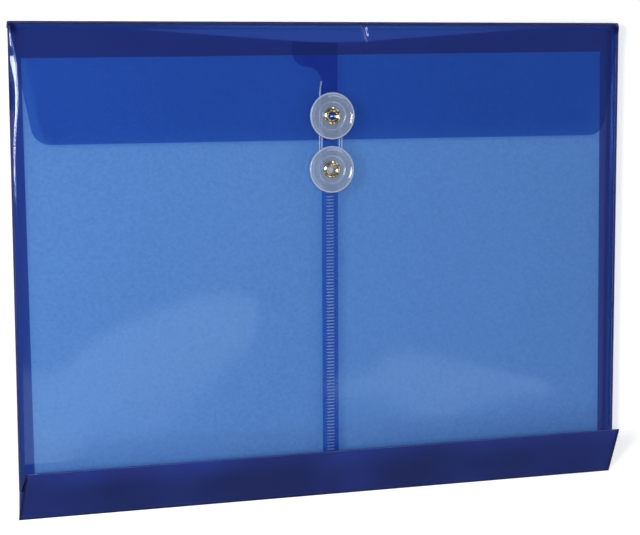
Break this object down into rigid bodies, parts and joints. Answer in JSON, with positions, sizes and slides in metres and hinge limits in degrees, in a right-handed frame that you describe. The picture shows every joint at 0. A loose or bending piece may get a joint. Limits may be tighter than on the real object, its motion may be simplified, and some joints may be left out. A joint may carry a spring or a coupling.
{
  "type": "string tie envelope",
  "caption": "Translucent film envelope with a block bottom, a lapped centre seam and a flap tied shut by a string wound round disc buttons, with a card inside.",
  "frame": {"origin": "under the middle of the envelope, on the surface that its back lies on", "axes": "+X across to the right, +Y up the envelope to the flap's fold, +Z out of the front"},
  "size_m": [0.3302, 0.2476, 0.0173],
  "materials": {
    "blue_film": "glossy translucent polypropylene film",
    "clear_disc": "clear moulded plastic",
    "brass": "bright pressed brass",
    "clear_string": "clear round cord",
    "white_card": "matt white card"
  },
  "bodies": {
    "back": {"back_panel": "blue_film", "left_side_fold": "blue_film", "right_side_fold": "blue_film"},
    "front": {"front_panel_left": "blue_film", "front_panel_right": "blue_film", "lower_eyelet": "brass"},
    "flap": {"flap_fold": "blue_film", "flap_panel": "blue_film", "upper_eyelet": "brass", "tie_string": "clear_string"},
    "bottom": {"bottom_outer_flap": "blue_film", "bottom_inner_flap": "blue_film", "left_corner_ear": "blue_film", "right_corner_ear": "blue_film"},
    "return_strip": {"gusset_strip": "blue_film"},
    "upper_button": {"upper_disc": "clear_disc"},
    "lower_button": {"lower_disc": "clear_disc"},
    "card": {"insert_card": "white_card"}
  },
  "joints": [
    {"name": "flap_hinge", "type": "hinge", "parent": "back", "child": "flap", "pos_m": [0, 0.12036, 0.00347], "axis": [-1, 0, 0], "range_deg": [0, 170], "deforming": ["flap_fold", "tie_string"]},
    {"name": "bottom_fold", "type": "hinge", "parent": "back", "child": "bottom", "pos_m": [0, -0.12373, 0.0001], "axis": [1, 0, 0], "range_deg": [0, 30], "deforming": ["left_side_fold", "right_side_fold"]},
    {"name": "front_swing", "type": "hinge", "parent": "back", "child": "front", "pos_m": [0, 0.06383, 0.00574], "axis": [-1, 0, 0], "range_deg": [0, 2.29], "stiffness_Nm_per_rad": 0.05, "springref_deg": 10.31},
    {"name": "strip_fold", "type": "hinge", "parent": "bottom", "child": "return_strip", "pos_m": [0, -0.09698, 0.01721], "axis": [1, 0, 0], "range_deg": [0, 17.84]},
    {"name": "upper_button_turn", "type": "hinge", "parent": "flap", "child": "upper_button", "pos_m": [-0.0014, 0.07612, 0.00694], "axis": [0, 0, 1], "continuous": true},
    {"name": "lower_button_turn", "type": "hinge", "parent": "front", "child": "lower_button", "pos_m": [-0.0014, 0.04872, 0.00594], "axis": [0, 0, 1], "continuous": true},
    {"name": "card_slide", "type": "slide", "parent": "back", "child": "card", "axis": [0, 1, 0], "range_m": [0, 0.011]}
  ],
  "couplings": [
    {"joint": "front_swing", "follows": "bottom_fold", "ratio": 0.07594},
    {"joint": "strip_fold", "follows": "bottom_fold", "ratio": 0.59312}
  ]
}
